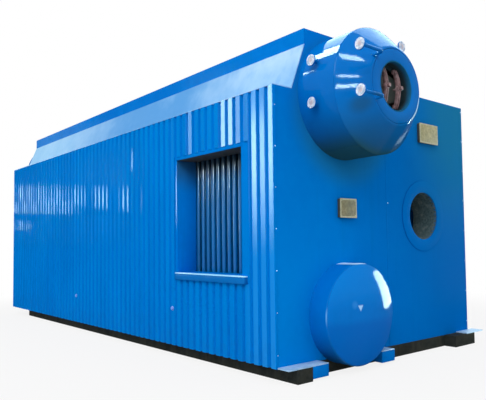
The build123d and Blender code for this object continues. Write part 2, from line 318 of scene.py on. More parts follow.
def rib_gloss(finish, step, each):
    """The ribs' gloss: the near ribs' crests, then short rows of glints that rise along the wall."""
    rib = step.worked("FLOOR")
    across = step.worked("FRACT")
    away = finish.y - front
    height = finish.z - base
    near_ribs = finish.listed(rib, (
        1, 0.75, 0.95, 0.06, 0.35, 0.85, 0.75, 0, 0, 0, 0, 0.25, 0, 0, 0.04, 0))
    far_ribs = finish.listed(rib - 20.0, (
        0.5, 0, 0, 0.9, 1, 0.2, 0, 0, 0.8, 1, 0.9, 0.7, 0.1, 0.1, 1))
    upright = height.between(1.03, 2.16) * (
        1 - step.between(0.99, 1.0, 2.99, 3.0) * height.between(2.3, 2.75) * 0.75)
    level = height - away * 0.095
    lower_level = height - away * 0.055
    high_row = level.between(1.36, 1.48, 1.6, 1.8) * away.between(2.6, 2.64) * far_ribs * (
        away.between(4.2, 4.3) * (each - 1.0) * 0.37 + 0.4)
    low_row = lower_level.between(1.43, 1.5, 1.64, 1.74) * away.between(4.4, 5.6) * (0.3 - each * 0.26)
    last_row = lower_level.between(1.08, 1.18, 1.26, 1.36) * away.between(6.8, 7.4) * (each * 0.2 + 0.05)
    top_spot = height.between(2.2, 2.32, 2.44, 2.58) * away.between(2.88, 2.9, 3.03, 3.05) * 0.3
    narrow = across.between(0.06, 0.18, 0.34, 0.46)
    return near_ribs * upright * 0.8 + (high_row + low_row + last_row + top_spot) * narrow + 0.004


def ribbed_paint():
    """Coated ribbed sheet: each rib a touch different, painted highlights on the crests by the front corner,
    valleys painted lighter and then with patchy painted shade, and grime along the foot.
    """
    finish = Finish("ribbed_blue", Specular_IOR_Level=0.0, Coat_Roughness=0.07)
    step = (finish.y - front) / rib_pitch
    each = finish.add("TexWhiteNoise", {"noise_dimensions": "1D"}, {"W": step.worked("FLOOR")})
    crest = step.worked("FRACT").between(0, 0.04, 0.56, 0.66)
    clouds = finish.noise(1.1, 5, 0.55, stretch=(1, 1, 0.5))
    colour = finish.mix(clouds.between(0.35, 0.68), (0, 0.155, 0.525), (0, 0.188, 0.58))
    colour = finish.mix(each * 0.4, colour, (0, 0.208, 0.62))
    # Painted highlight: the crests of the ribs nearest the front corner lighter
    colour = finish.mix(crest * step.between(4.0, 2.0) * 0.45, colour, (0.02, 0.25, 0.7))
    # Painted light: the valleys lighter, against the shade that falls in them
    colour = finish.mix((1 - crest) * 0.55, colour, (0, 0.21, 0.66))
    # Painted shade: patchy darker blue in the valleys, which also dulls their gloss
    valley = (1 - crest) * finish.noise(6, 4, 0.6, stretch=(1, 1, 0.12)).between(0.25, 0.7)
    colour = finish.mix(valley * 0.25, colour, (0, 0.11, 0.42))
    foot = finish.z.between(base + 0.5, base) * finish.noise(8, 4, 0.65).between(0.35, 0.7)
    colour = finish.mix(foot * 0.25, colour, (0.01, 0.11, 0.38))
    fine = finish.noise(14, 4, 0.6)
    relief = finish.bump(finish.noise(0.9, 3, 0.5, stretch=(1, 2.2, 0.8), shift=(0, 6, 1)), 0.006)
    relief = finish.bump(finish.noise(120, 2, 0.5), 0.00004, relief)
    shine = rib_gloss(finish, step, each) * (1 - valley * 0.7 - foot * 0.5) * (fine * 0.4 + 0.8)
    return finish.show(Base_Color=colour, Roughness=fine * 0.2 + 0.4, Normal=relief, Coat_Weight=shine)


def bare_metal(name, pale, dull, rust, rough=0.45, metallic=0.0, rusting=0.4, scale=18.0, shine=0.4):
    """Unpainted steel with mill scale, scratches and blooms of rust."""
    finish = Finish(name, Metallic=metallic, Specular_IOR_Level=shine)
    mottle = finish.noise(scale, 5, 0.65)
    colour = finish.mix(mottle.between(0.35, 0.65), pale, dull)
    blooms = finish.noise(scale * 0.4, 5, 0.7, shift=(3, 3, 3)).between(0.48, 0.66)
    colour = finish.mix(blooms * rusting, colour, rust)
    scratches = finish.noise(scale * 9, 2, 0.4, stretch=(0.15, 1, 1))
    relief = finish.bump(mottle, 0.0008, finish.bump(scratches, 0.0002))
    return finish.show(Base_Color=colour, Roughness=mottle * 0.25 + blooms * 0.2 + (rough - 0.1), Normal=relief)


def disc_finish(name, centre, axis):
    """A pale cap on a small flange: chalky, with a pinkish stain towards its middle."""
    finish = Finish(name, Specular_IOR_Level=0.4)
    one = finish.y - centre[1] if axis == "X" else finish.x - centre[0]
    other = finish.z - centre[2]
    reach = (one * one + other * other).worked("SQRT")
    blotch = finish.noise(38, 3, 0.6)
    colour = finish.mix(blotch.between(0.42, 0.58), (0.66, 0.71, 0.8), (0.27, 0.37, 0.52))
    middle = (reach + (blotch - 0.5) * 0.1).between(0.04, 0.006)
    colour = finish.mix(middle * 0.7, colour, (0.4, 0.28, 0.3))
    return finish.show(Base_Color=colour, Roughness=blotch * 0.3 + 0.35, Normal=finish.bump(blotch, 0.0012))


drum_paint = {"gloss": 0.14, "sheen": 0.07, "streak": 0.15, "dust": 0.0}
trim_colours = (0, 0.15, 0.545), (0, 0.17, 0.59), (0, 0.12, 0.4)
blue = {
    "wall": paint(
        "wall_blue", (0, 0.157, 0.55), (0, 0.176, 0.58), (0, 0.13, 0.42),
        gloss=0.001, sheen=0.2, dents=0.0015, stains_and_painted_light=[
            # Painted light: the front wall lighter at its lower left
            ((0, 0.195, 0.62), zone(0.7, x=(left + 1.5, left + 0.4), z=(base + 1.8, base + 0.6))),
            # Painted shade: the front wall darker towards its right
            ((0, 0.11, 0.415), zone(0.85, x=(left + 0.6, right - 0.2))),
            # Painted shadow around and below the upper drum, and a greenish tint towards the far top corner
            ((0.012, 0.16, 0.3), wall_shadow_and_corner_tint)]),
    "roof": paint("roof_blue", (0, 0.145, 0.52), (0, 0.17, 0.57), (0, 0.14, 0.42), gloss=0.025),
    "upper": paint(
        "upper_drum_blue", (0, 0.125, 0.445), (0, 0.138, 0.48), (0, 0.1, 0.34),
        **drum_paint, dents=0.0009, dent_scale=2.4, polish=cone_sheen, stains_and_painted_light=[
            # Painted shade on the upper drum's underside
            ((0.01, 0.075, 0.14), painted_underside_shade(upper, jacket_radius)),
            # Painted shade, greenish brown, low on the upper drum under its shoulder
            ((0.016, 0.07, 0.06), zone(
                0.8, y=(shoulder - 0.08, shoulder + 0.02),
                z=(upper.z - jacket_radius * 0.66, upper.z - jacket_radius * 0.98))),
            # Painted dark reflection of the lower gauge pipe, on the cone below it
            ((0.01, 0.07, 0.14), painted_reflection_spot(upper.x - 0.44, upper.z - 0.22, 0.13, 0.6)),
            # Painted glint on the cone's rounded tip, low on its right
            ((0.42, 0.72, 0.9), painted_tip_glint)]),
    "lower": paint(
        "lower_drum_blue", (0, 0.13, 0.475), (0, 0.142, 0.505), (0, 0.1, 0.36),
        **drum_paint, dent_scale=2.0, stains_and_painted_light=[
            # Painted shade on the lower drum's underside
            ((0.004, 0.065, 0.15), painted_underside_shade(lower, lower_radius)),
            # Painted highlight: pale glints on the jacket's rim, at its sides near the axis height
            ((0.2, 0.5, 0.84), zone(
                0.5, y=(cap_rim + 0.014, cap_rim + 0.006),
                z=(lower.z - 0.1, lower.z + 0.02, lower.z + 0.04, lower.z + 0.13))),
            # Painted highlight: a pale line along the top of the lower drum's jacket
            ((0.5, 0.76, 0.9), zone(
                0.85, z=(lower.z + lower_radius - 0.016, lower.z + lower_radius - 0.005)))]),
    "cap": paint(
        "lower_cap_blue", (0, 0.138, 0.5), (0, 0.152, 0.54), (0, 0.11, 0.38),
        **drum_paint, dent_scale=2.0, stains_and_painted_light=[
            # Painted light: the cap's upper half lighter
            ((0, 0.182, 0.6), zone(0.8, z=(lower.z + 0.02, lower.z + 0.3))),
            # Painted shade: the cap's lower half darker
            ((0, 0.112, 0.455), zone(0.85, z=(lower.z - 0.01, lower.z - 0.12))),
            # Painted reflection: a pale soft patch left of the cap's painted highlight
            ((0.06, 0.3, 0.72), painted_reflection_spot(lower.x - 0.17, lower.z + 0.115, 0.06, 0.3)),
            # Painted highlight: a pale V towards the cap's middle
            ((0.36, 0.62, 0.9), painted_highlight_notch(lower.x - 0.085, lower.z + 0.035, lower.z + 0.115, 0.85))]),
    # Painted light and shade: the reveal is a lighter copy of the trim blue, against the shade in its recess, with
    # painted shade under its head
    "reveal": paint(
        "reveal_blue", (0, 0.185, 0.66), (0, 0.2, 0.7), (0, 0.15, 0.5), gloss=0.02,
        stains_and_painted_light=[((0.018, 0.075, 0.14), zone(0.8, z=(window_high.z - 0.45, window_high.z)))]),
    "frame edge": paint(
        "frame_edge_blue", *trim_colours, gloss=0.9, sheen=0.07, streak=0.1,
        polish=zone(1, z=(base + 1.35, base + 1.75, base + 1.95, base + 2.25))),
    "sill": paint("sill_blue", (0.002, 0.12, 0.4), (0.004, 0.135, 0.44), (0.006, 0.1, 0.3), gloss=0.03),
    # Painted highlight: a pale strip along the top of the sill
    "lip": paint(
        "sill_lip_painted_highlight", (0.3, 0.68, 0.95), (0.42, 0.76, 1.0), (0.2, 0.5, 0.8), gloss=0.2, streak=0.1),
    "trim": paint("trim_blue", *trim_colours, gloss=0.05, dents=0.0006, dent_scale=5),
    # Painted reflection: the flashing's pale blues stand for the sky mirrored in the sloping sheet, paler at the
    # far end and in patches at the near end
    "flashing": paint(
        "flashing_pale_blue", (0.2, 0.41, 0.68), (0.29, 0.5, 0.74), (0.13, 0.34, 0.68),
        sheen=0.15, dents=0.004, dent_scale=1.2, stains_and_painted_light=[
            ((0.4, 0.7, 0.88), zone(0.35, y=(rear - 3.6, rear - 0.8))),
            ((0.07, 0.27, 0.58), flashing_weaker_sheen),
            ((0.5, 0.68, 0.8), flashing_near_end_sheen)]),
    "ribs": ribbed_paint(),
}
black = paint(
    "skid_black", (0.01, 0.014, 0.014), (0.022, 0.028, 0.026), (0.05, 0.05, 0.04), streak=0.6, dust=0.5)
# Painted shade: the neck's blue darkened for the shade inside it, darker still deeper in
neck_painted_shade = paint(
    "neck_painted_shade", (0.008, 0.09, 0.19), (0.01, 0.105, 0.22), (0.01, 0.06, 0.11), gloss=0.02,
    stains_and_painted_light=[((0.018, 0.029, 0.03), zone(0.95, y=(face - 0.004, face + 0.075)))])
tube_steel = paint(
    "tube_steel", (0, 0.125, 0.37), (0.002, 0.145, 0.42), (0.006, 0.07, 0.16),
    gloss=0.7, sheen=0.16, dents=0.0004, dent_scale=9, dust=0.0, streak=0.5,
    # Painted shade: the tubes darker at their tops, under the window head
    stains_and_painted_light=[((0.012, 0.02, 0.02), zone(0.9, z=(window_high.z - 0.3, window_high.z - 0.04)))])
# Bare steel whose pale blue is partly a painted sky reflection, as on the feet's top plates
plate_steel_and_sheen = bare_metal(
    "bare_plate", (0.34, 0.52, 0.72), (0.22, 0.4, 0.62), (0.3, 0.26, 0.26), rusting=0.25, scale=9, shine=0.15)
rusty = bare_metal(
    "rusty_steel", (0.23, 0.125, 0.13), (0.12, 0.062, 0.064), (0.28, 0.2, 0.21),
    rough=0.6, rusting=0.6, scale=26, shine=0.3)
dark_steel = bare_metal(
    "dark_steel", (0.02, 0.026, 0.024), (0.04, 0.045, 0.035), (0.1, 0.06, 0.04), rough=0.55, rusting=0.35)
screw_steel = bare_metal(
    "screw_steel", (0.55, 0.66, 0.8), (0.36, 0.48, 0.66), (0.3, 0.22, 0.2),
    rough=0.35, metallic=0.4, rusting=0.2, scale=60)
plug_finish = bare_metal(
    "plug_lilac", (0.2, 0.32, 0.74), (0.08, 0.2, 0.62), (0.3, 0.24, 0.5),
    rough=0.5, rusting=0.3, scale=60, shine=0.2)
refractory = bare_metal(
    "refractory", (0.022, 0.055, 0.066), (0.06, 0.105, 0.115), (0.2, 0.24, 0.23),
    rough=0.85, rusting=0.45, scale=34)
tan_wear = {"rough": 0.65, "rusting": 0.5, "scale": 30, "shine": 0.05}
tan_upper = bare_metal(
    "tan_plate_upper", (0.33, 0.305, 0.16), (0.25, 0.235, 0.125), (0.46, 0.42, 0.245), **tan_wear)
tan_lower = bare_metal(
    "tan_plate_lower", (0.187, 0.175, 0.099), (0.13, 0.123, 0.07), (0.3, 0.265, 0.16), **tan_wear)
tan_edge = bare_metal(
    "tan_rim", (0.4, 0.38, 0.24), (0.3, 0.285, 0.18), (0.48, 0.46, 0.32), rough=0.6, rusting=0.5,
    scale=30, shine=0.1)


# Making pieces

def start(name):
    """Name the primitive just added and open it for editing, all selected."""
    piece = bpy.context.object
    piece.name = name
    bpy.ops.object.transform_apply()
    bpy.ops.object.mode_set(mode="EDIT")
    bpy.ops.mesh.select_mode(type="VERT")
    bpy.ops.mesh.select_all(action="SELECT")
    return piece


def weld():
    """In edit mode, weld what meets."""
    bpy.ops.mesh.select_all(action="SELECT")
    bpy.ops.mesh.remove_doubles(threshold=weld_distance)


def close_up(piece):
    """Weld what meets, turn the faces outwards and leave edit mode."""
    weld()
    bpy.ops.mesh.normals_make_consistent()
    bpy.ops.object.mode_set(mode="OBJECT")
    return piece


def choose(*group):
    """Select these pieces alone, the first of them active."""
    bpy.ops.object.select_all(action="DESELECT")
    for one in group:
        one.select_set(True)
    if group:
        bpy.context.view_layer.objects.active = group[0]


def bevel(piece, width, segments=2):
    """Round the sharp edges."""
    choose(piece)
    rounding = piece.modifiers.new("rounding", "BEVEL")
    rounding.width = width
    rounding.segments = segments
    rounding.limit_method = "ANGLE"
    rounding.angle_limit = radians(30)
    bpy.ops.object.modifier_apply(modifier="rounding")
    return piece


def move(piece, turn=(0, 0, 0), to=(0, 0, 0)):
    """Turn a piece about the origin and carry it to its place."""
    choose(piece)
    piece.rotation_euler = turn
    piece.location = to
    bpy.ops.object.transform_apply()
    return piece


def copies(piece, places):
    """One piece of several copies, one at each place."""
    group = [piece]
    for place in places[1:]:
        another = piece.copy()
        another.data = piece.data.copy()
        bpy.context.scene.collection.objects.link(another)
        another.data.transform(Matrix.Translation(place))
        group.append(another)
    piece.data.transform(Matrix.Translation(places[0]))
    return join(group)


def join(group):
    """Make one piece of several."""
    choose(*group)
    bpy.ops.object.join()
    return group[0]


def cover(piece, finish):
    """Give a piece its finish."""
    piece.data.materials.clear()
    piece.data.materials.append(finish)


def done(piece, finish, replaced=(), smooth=32):
    """Shade a finished piece, give it its finish and fix it to the boiler."""
    choose(piece)
    bpy.ops.object.shade_smooth_by_angle(angle=radians(smooth))
    cover(piece, finish)
    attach(piece, "root")
    if replaced:
        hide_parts(*replaced)


def edge_ring(name, sides, radius, place, turn):
    """A ring of edges, open for editing."""
    choose()
    bpy.ops.mesh.primitive_circle_add(vertices=sides, radius=radius, location=place, rotation=turn)
    return start(name)


def extrude(step):
    """Extrude what is selected by a step."""
    bpy.ops.mesh.extrude_region_move(TRANSFORM_OT_translate={"value": step})


def ring_run(name, steps, sides):
    """Run a ring of edges through (radius, y) steps about the Y axis, closing at a radius of zero."""
    radius, y = steps[0]
    piece = edge_ring(name, sides, radius, (0, y, 0), (pi / 2, 0, 0))
    for next_radius, next_y in steps[1:]:
        extrude((0, next_y - y, 0))
        if next_radius == 0:
            bpy.ops.mesh.merge(type="CENTER")
        elif next_radius != radius:
            scale = next_radius / radius
            bpy.ops.transform.resize(value=(scale, 1, scale), center_override=(0, next_y, 0))
        radius, y = next_radius, next_y
    return close_up(piece)


def turned(name, axis, steps, sides=128, rounded=0.0):
    """A turned piece about a line parallel to the drums."""
    piece = ring_run(name, steps, sides)
    if rounded:
        bevel(piece, rounded)
    return move(piece, to=axis)


def block(name, low, high, rounded=0.002, segments=2):
    """A solid bar or plate between two corners, its edges eased."""
    low, high = Vector(low), Vector(high)
    choose()
    bpy.ops.mesh.primitive_cube_add(size=1, location=(low + high) / 2, scale=high - low)
    return bevel(close_up(start(name)), rounded, segments)


def swing(turn, centre, axis, steps):
    """Spin what is selected, anticlockwise as seen from the tip of the axis."""
    bpy.ops.mesh.spin(steps=steps, angle=-turn, center=centre, axis=axis)


def hex_bolt(name, across, height, washer, facing="Y"):
    """A hexagon head on a washer, facing low Y or low X from the origin."""
    choose()
    bpy.ops.mesh.primitive_cylinder_add(
        vertices=6, radius=across, depth=height, location=(0, -height / 2 - washer, 0), rotation=(pi / 2, 0, 0))
    head = start(name)
    mesh = bmesh.from_edit_mesh(head.data)
    bpy.ops.mesh.select_all(action="DESELECT")
    bpy.context.tool_settings.mesh_select_mode = (False, False, True)
    for side in mesh.faces:
        side.select_set(side.normal.y < -0.9)
    mesh.select_flush_mode()
    bmesh.update_edit_mesh(head.data)
    bpy.ops.mesh.inset(thickness=across * 0.14)
    bpy.ops.transform.translate(value=(0, -height * 0.12, 0))
    close_up(head)
    disc = ring_run(name + "_washer", [
        (across * 1.45, 0), (across * 1.45, -washer * 0.8), (across * 1.32, -washer), (0, -washer)], 16)
    return move(join([head, disc]), facing_turn[facing])


def pan_screw(name, radius, facing="Y"):
    """A low domed screw head."""
    height = 0.004
    screw = ring_run(name, [
        (radius, 0), (radius, -height * 0.35), (radius * 0.8, -height * 0.8), (radius * 0.4, -height),
        (0, -height)], 12)
    return move(screw, facing_turn[facing])


# Upper drum

def lagging(radius, inset, wall, collar, sheet_end, lap):
    """A jacket's (radius, y) steps away from a wall: a thin collar, the sheet, and the lap at its end."""
    ramp = 0.001 if collar > 0 else -0.001
    return [(radius - inset, wall), (radius, wall), (radius, wall + collar),
            (radius - sheet, wall + collar + ramp), (radius - sheet, sheet_end), (radius, sheet_end + lap)]


def make_upper_drum():
    """The lagged jacket, the cone with its rounded tip, the face ring and a lapped seam."""
    radius, tip = jacket_radius, cone_tip_radius
    jacket = turned("upper_drum_jacket", upper, [
        *lagging(radius, 0.03, front, -0.03, shoulder + 0.012, -0.002),
        (radius, shoulder), (radius - 0.06, shoulder)])
    done(jacket, blue["upper"], ["upper_jacket_front"])
    slope = (radius - tip) / (shoulder - face)
    edge = 0.014
    cone = turned("upper_drum_cone", upper, [
        (radius - 0.05, shoulder + 0.001), (radius - 0.0005, shoulder),
        (radius - edge * slope, shoulder - edge), (tip + edge * slope, face + edge),
        (tip + 0.0045, face + 0.0075), (tip - 0.004, face + 0.002),
        (tip - 0.012, face), (ring_radius, face), (ring_radius, face + 0.012)], rounded=0.004)
    done(cone, blue["upper"], ["upper_cone_front"], smooth=24)
    ring = turned("upper_drum_face_ring", upper, [
        (neck_radius, face + 0.018), (neck_radius, face), (ring_radius - 0.003, face),
        (ring_radius - 0.003, face + 0.018)], rounded=0.0025)
    done(ring, blue["upper"], ["upper_ring_front"])
    seam_turn = radians(205)
    seam = block("upper_jacket_seam", (-0.017, shoulder + 0.012, -0.001), (0.017, front - 0.031, sheet), 0.001)
    move(seam, to=(0, 0, radius - sheet))
    move(seam, (0, seam_turn, 0), upper)
    done(seam, blue["upper"])


def arch(name, half, rise, depth, width):
    """One forged yoke on the XZ plane: an arch along Z that stands out towards low Y."""
    inner_radius = (half * half + rise * rise) / (2 * rise)
    turn = 2 * atan2(half, inner_radius - rise)
    centre = Vector((0, inner_radius - rise, 0))
    choose()
    bpy.ops.mesh.primitive_plane_add(size=1, location=(0, centre.y - inner_radius - depth / 2, 0))
    bpy.context.object.scale = (width, depth, 1)
    yoke = start(name)
    bpy.ops.transform.rotate(value=turn / 2, orient_axis="X", center_override=centre)
    swing(turn, centre, (1, 0, 0), 16)
    weld()
    bpy.ops.mesh.select_all(action="DESELECT")
    bpy.ops.mesh.select_non_manifold()
    bpy.ops.mesh.edge_face_add()
    close_up(yoke)
    return bevel(yoke, 0.005)


def make_manhole():
    """The neck and its seat, the oval cover, and two rusty pairs of yokes with their studs and nuts."""
    seat = face + seat_depth
    boss_radius = 0.034
    stud_radius = 0.011
    neck = turned("manhole_neck_wall", upper, [
        (neck_radius, seat + 0.02), (neck_radius, face), (manhole_radius, face),
        (manhole_radius, seat), (0.205, seat), (0.205, seat + 0.02)], 96, rounded=0.003)
    done(neck, neck_painted_shade, ["manhole_neck"])
    lid = turned("manhole_cover_plate", Vector(), [
        (0.206, seat + 0.05), (0.206, seat + 0.014), (0.196, seat + 0.006), (0.1, seat - 0.004),
        (0, seat - 0.006)], 64)
    lid.data.transform(Matrix.Diagonal((1, 1, 0.74, 1)))
    done(move(lid, to=upper), dark_steel, ["manhole_cover"])
    yokes, studs = [], []
    for side in (-1, 1):
        x = upper.x + side * 0.1
        axis = Vector((x, 0, upper.z))
        for bar in (-1, 1):
            yoke = arch("manhole_yoke", 0.19, 0.044, 0.038, 0.016)
            yokes.append(move(yoke, to=(x + bar * 0.0145, seat, upper.z)))
        for end in (-1, 1):
            z = upper.z + end * 0.183
            yokes.append(block("yoke_foot", (x - 0.026, seat - 0.03, z - 0.021),
                               (x + 0.026, seat - 0.0005, z + 0.021), 0.006, 3))
        yokes.append(turned("yoke_boss", axis, [
            (boss_radius, seat - 0.05), (boss_radius, seat - 0.078), (0.028, seat - 0.084),
            (0, seat - 0.084)], 24, rounded=0.002))
        stud = turned("manhole_stud", axis, [
            (stud_radius, seat), (stud_radius, face + 0.006), (0.008, face + 0.002), (0, face + 0.002)], 16)
        nut = hex_bolt("manhole_nut", 0.022, 0.024, 0.004)
        studs += [stud, move(nut, to=(x, seat - 0.083, upper.z))]
    done(join(yokes), rusty, ["manhole_yokes"])
    done(join(studs), rusty, ["manhole_studs"])


# Lower drum

def make_lower_drum():
    """The lagged jacket with a rolled rim, and the shallow dished cap."""
    radius = lower_radius
    jacket = turned("lower_drum_jacket", lower, [
        *lagging(radius, 0.04, front, -0.022, cap_rim + 0.026, -0.001),
        (radius, cap_rim + 0.012), (radius - 0.0035, cap_rim + 0.0035),
        (radius - 0.012, cap_rim), (radius - 0.05, cap_rim)])
    done(jacket, blue["lower"], ["lower_jacket_front"])
    depth = cap_rim - cap_tip
    profile = [(radius - 0.04, cap_rim + 0.001), (radius - 0.01, cap_rim - 0.0005)]
    for share in (0.97, 0.94, 0.9, 0.85, 0.79, 0.72, 0.64, 0.55, 0.44, 0.32, 0.18):
        profile.append((radius * share, cap_rim - depth * (1 - share ** 2.8) - 0.004 * (1 - share)))
    profile.append((0, cap_tip))
    cap = turned("lower_drum_cap", lower, profile)
    done(cap, blue["cap"], ["lower_cap_front"], smooth=40)


def make_rear_ends():
    """Both drums' lagged rear ends: the upper one tapers over its drum's head, the lower is flat."""
    head_low, head_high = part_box("steam_drum_heads")
    head_lagging = 0.032
    waist = (head_high.x - head_low.x) / 2 + head_lagging
    end = drum_end_rear
    jacket = turned("upper_drum_rear_end", upper, [
        *lagging(jacket_radius, 0.03, rear, 0.03, rear + 0.25, 0.002),
        (jacket_radius, rear + 0.268), (jacket_radius - 0.005, rear + 0.284),
        (waist + 0.003, head_high.y - 0.006), (waist - 0.003, head_high.y + 0.005),
        (waist - 0.08, end - 0.004), (waist - 0.086, end), (waist * 0.5, end), (0, end)])
    done(jacket, blue["upper"], ["upper_end_rear"])
    end = lower_end_rear
    jacket = turned("lower_drum_rear_end", lower, [
        *lagging(lower_radius, 0.03, rear, 0.025, end - 0.045, 0.001),
        (lower_radius, end - 0.006), (lower_radius - 0.006, end), (lower_radius * 0.5, end), (0, end)])
    done(jacket, blue["lower"], ["lower_end_rear"])
    screws = []
    screw_turns = [i * pi / 12 for i in range(24)]
    for name, axis, radius, y in (("upper_rear_screws", upper, waist - 0.12, drum_end_rear),
                                  ("lower_rear_screws", lower, lower_radius - 0.03, end)):
        screw = move(pan_screw(name, 0.007), turn=(0, 0, pi))
        screws.append(copies(screw, [
            (axis.x + radius * cos(turn), y - 0.0042, axis.z + radius * sin(turn)) for turn in screw_turns]))
    done(join(screws), screw_steel)


# Gauge and vent nozzles

def capped_flange(name, facing, place, cap_name, cap_finish):
    """A small flange with its four nuts, and its pale cap as a piece of its own."""
    flange = ring_run(name, [
        (pipe_radius, 0.018), (0.056, 0.018), (0.0578, 0.016), (0.0578, 0.004), (0.0565, 0.0025), (0.036, 0.0025),
        (0, 0.0025)], 48)
    cap = ring_run(cap_name, [
        (0.03, 0.0024), (0.0545, 0.0024), (0.0555, 0.0012), (0.0545, 0.0), (0.03, 0.0004), (0.012, 0.0),
        (0, 0.0)], 48)
    bolt_circle = 0.043
    nuts = []
    for i in range(4):
        turn = pi / 4 + i * pi / 2
        nut = hex_bolt(name + "_nut", 0.008, 0.007, 0.0015)
        nuts.append(move(nut, (0, 0, pi), (bolt_circle * cos(turn), 0.018, bolt_circle * sin(turn))))
    done(move(cap, facing_turn[facing], place), disc_finish(cap_finish, place, facing))
    return move(join([flange, *nuts]), facing_turn[facing], place)


def pipe(name, path_start, runs):
    """A pipe from a ring of edges: straight runs and spun bends towards low X."""
    turn = (pi / 2, 0, 0) if runs[0][0] == "Y" else (0, pi / 2, 0)
    piece = edge_ring(name, 24, pipe_radius, path_start, turn)
    at = Vector(path_start)
    for kind, length in runs:
        if kind == "BEND":
            swing(-pi / 2, at + Vector((-length, 0, 0)), (0, 0, 1), 8)
            at += Vector((-length, -length, 0))
        else:
            step = Vector((-length, 0, 0)) if kind == "X" else Vector((0, -length, 0))
            extrude(step)
            at += step
    return close_up(piece)


def make_nozzles():
    """Four gauge nozzles that face left and a vent that faces forward, with pale caps."""
    gauges = []
    for i, rise in enumerate(gauge_rises):
        z = upper.z + rise
        x, face_x = upper.x - 0.331, upper.x - 0.684
        start_y, turn_y = face + 0.1, face - 0.103
        bent = pipe("gauge_pipe", (x, start_y, z), [
            ("Y", start_y - turn_y - pipe_bend), ("BEND", pipe_bend), ("X", x - pipe_bend - face_x - pipe_radius)])
        weld_ring = turned("gauge_weld", Vector((x, 0, z)), [
            (0.016, face + 0.004), (0.024, face + 0.002), (0.021, face - 0.006), (pipe_radius, face - 0.009)], 24)
        gauges += [bent, weld_ring, capped_flange(
            "gauge_flange", "X", (face_x, turn_y, z), f"gauge_cap_front_{i}", f"cap_front_{i}")]
        face_x, side_y = upper.x - 0.7, front - 0.232
        straight = pipe("gauge_pipe", (upper.x - 0.55, side_y, z), [("X", 0.15 - pipe_radius)])
        collar_x = upper.x - sqrt(jacket_radius ** 2 - rise ** 2)
        collar = ring_run("gauge_collar", [(pipe_radius, -0.012), (0.026, -0.006), (0.03, 0.012)], 24)
        move(collar, facing_turn["X"], (collar_x, side_y, z))
        gauges += [straight, collar, capped_flange(
            "gauge_flange", "X", (face_x, side_y, z), f"gauge_cap_side_{i}", f"cap_side_{i}")]
    done(join(gauges), blue["upper"], ["gauge_nozzles"])
    place = (upper.x + 0.275, front - 0.63, upper.z + 0.498)
    straight = pipe("vent_pipe", (place[0], front - 0.55, place[2]), [("Y", 0.08 - pipe_radius)])
    flange = capped_flange("vent_flange", "Y", place, "vent_cap", "cap_vent")
    done(join([straight, flange]), blue["upper"], ["vent_nozzle"])


# Front wall

def make_burner():
    """The raised ring, and the rough throat behind it."""
    ring = turned("burner_face_ring", burner, [
        (burner_radius, front + 0.03), (burner_radius, front - 0.012), (burner_ring_radius, front - 0.012),
        (burner_ring_radius, front)], rounded=0.003)
    done(ring, blue["wall"], ["burner_ring"])
    steps = [(burner_radius + 0.09, throat_end), (burner_radius, throat_end)]
    courses = 10
    for i in range(1, courses):
        y = throat_end + (front - throat_end) * i / courses
        steps.append((burner_radius - (0 if i % 2 else 0.004), y))
    steps.append((burner_radius, front + 0.001))
    throat = turned("burner_throat_lining", burner, steps, 96)
    done(throat, refractory, ["burner_throat"])


def make_peep_covers():
    """Two tan cover plates with thin rims and corner bolts, on their shallow dark boxes."""
    boxes, rims = [], []
    low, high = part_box("peep_plates")
    for x, z, width, tall, finish, replaced in (
            (right - 0.869, base + 2.592, 0.4, 0.252, tan_upper, ["peep_plates"]),
            (left + 1.048, base + 1.591, 0.272, 0.213, tan_lower, [])):
        half, rise = width / 2, tall / 2
        boxes.append(block("peep_box", (x - half + 0.006, high.y, z - rise + 0.006),
                           (x + half - 0.006, front, z + rise - 0.006), 0.004))
        plate = block("peep_plate", (x - half, low.y + 0.0005, z - rise), (x + half, high.y, z + rise), 0.0025)
        done(plate, finish, replaced)
        choose()
        bpy.ops.mesh.primitive_plane_add(size=1, location=(x, low.y + 0.0005, z), rotation=(pi / 2, 0, 0))
        bpy.context.object.scale = (width - 0.006, tall - 0.006, 1)
        rim = start("peep_rim")
        bpy.ops.mesh.inset(thickness=0.014)
        bpy.ops.mesh.delete(type="FACE")
        bpy.ops.mesh.select_all(action="SELECT")
        extrude((0, -0.0005, 0))
        rims.append(close_up(rim))
        for i in (-1, 1):
            for j in (-1, 1):
                bolt = hex_bolt("peep_bolt", 0.007, 0.005, 0.001)
                rims.append(move(bolt, to=(x + i * (half - 0.026), low.y + 0.0065, z + j * (rise - 0.026))))
    done(join(boxes), dark_steel, ["peep_boxes"])
    done(join(rims), tan_edge)


def make_wall_trim():
    """The front wall's corner strips with their screws, and the joint between its two plates."""
    top = ledge_top - 0.012
    screw_pitch = 0.41
    right_top = right_eave - 0.012
    strips = [
        block("front_corner_strip", (x, front - 0.0016, base + 0.002), (x + 0.029, front + 0.001, z), 0.0008)
        for x, z in ((left + 0.001, top), (right - 0.03, right_top))]
    done(join(strips), blue["wall"])
    joint_x = left + 1.78
    joint = block("front_plate_joint", (joint_x - 0.012, front - 0.0014, base + 0.01),
                  (joint_x + 0.012, front + 0.001, right_top), 0.0006)
    done(joint, blue["wall"])
    screw = pan_screw("corner_screws", screw_radius)
    places = []
    for x, height in ((left + 0.022, top), (right - 0.022, right_eave - 0.02)):
        z = base + 0.13
        while z < height:
            places.append((x, front - 0.0014, z))
            z += screw_pitch
    places.append((joint_x + 0.018, front - 0.0014, base + 1.678))
    done(copies(screw, places), screw_steel)


# Left wall

